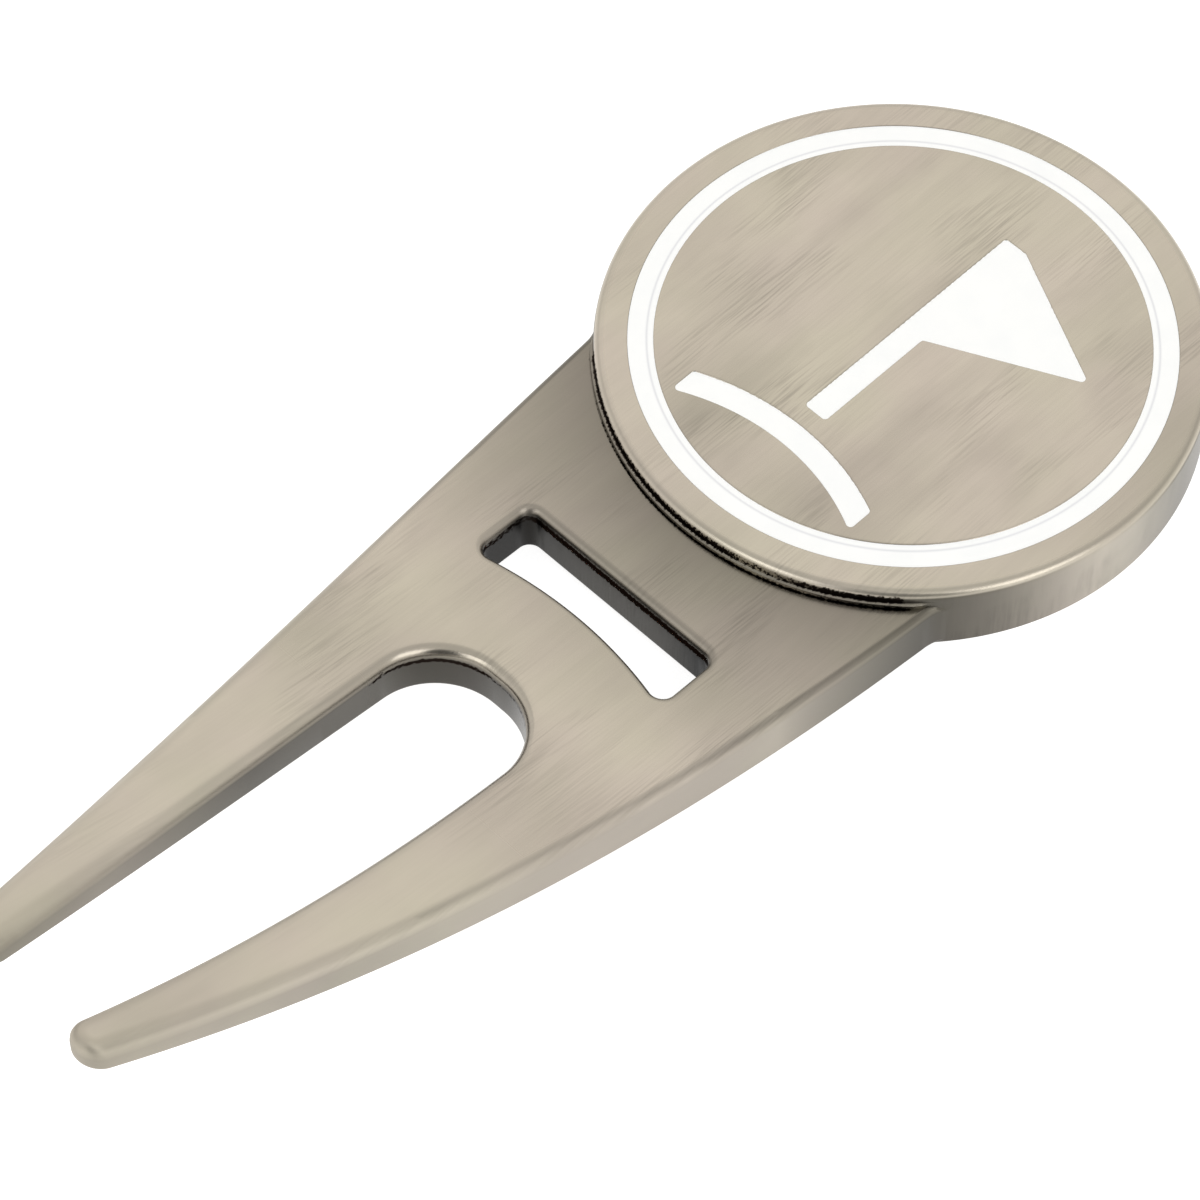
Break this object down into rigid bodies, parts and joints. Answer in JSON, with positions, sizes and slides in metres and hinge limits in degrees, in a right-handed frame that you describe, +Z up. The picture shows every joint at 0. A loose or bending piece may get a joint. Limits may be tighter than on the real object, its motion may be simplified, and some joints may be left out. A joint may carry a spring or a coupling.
{
  "type": "divot repair tool",
  "caption": "Golf divot repair tool: curved metal fork with tapering prongs, a cross slot and a round head that holds a lift-out magnetic ball marker with white enamel.",
  "frame": {"origin": "centre of the round head on the tool's flat underside, which rests on the ground", "axes": "+X from the prongs to the head along the tool's length, +Z up out of the marker's face, +Y across the tool"},
  "size_m": [0.0668, 0.0282, 0.0096],
  "materials": {
    "nickel_casting": "brushed nickel plate with a satin gloss",
    "marker_steel": "brushed nickel plate with a satin gloss",
    "white_enamel": "glossy white enamel",
    "magnet_nickel": "bright nickel plate",
    "adhesive": "cured amber adhesive"
  },
  "bodies": {
    "fork": {"fork_body": "nickel_casting", "magnet_adhesive": "adhesive", "marker_magnet": "magnet_nickel"},
    "marker": {"ball_marker": "marker_steel", "enamel_ring": "white_enamel", "enamel_flag": "white_enamel", "enamel_green": "white_enamel"}
  },
  "joints": [
    {"name": "marker_lift", "type": "slide", "parent": "fork", "child": "marker", "axis": [0, 0, 1], "range_m": [0, 0.02]}
  ]
}
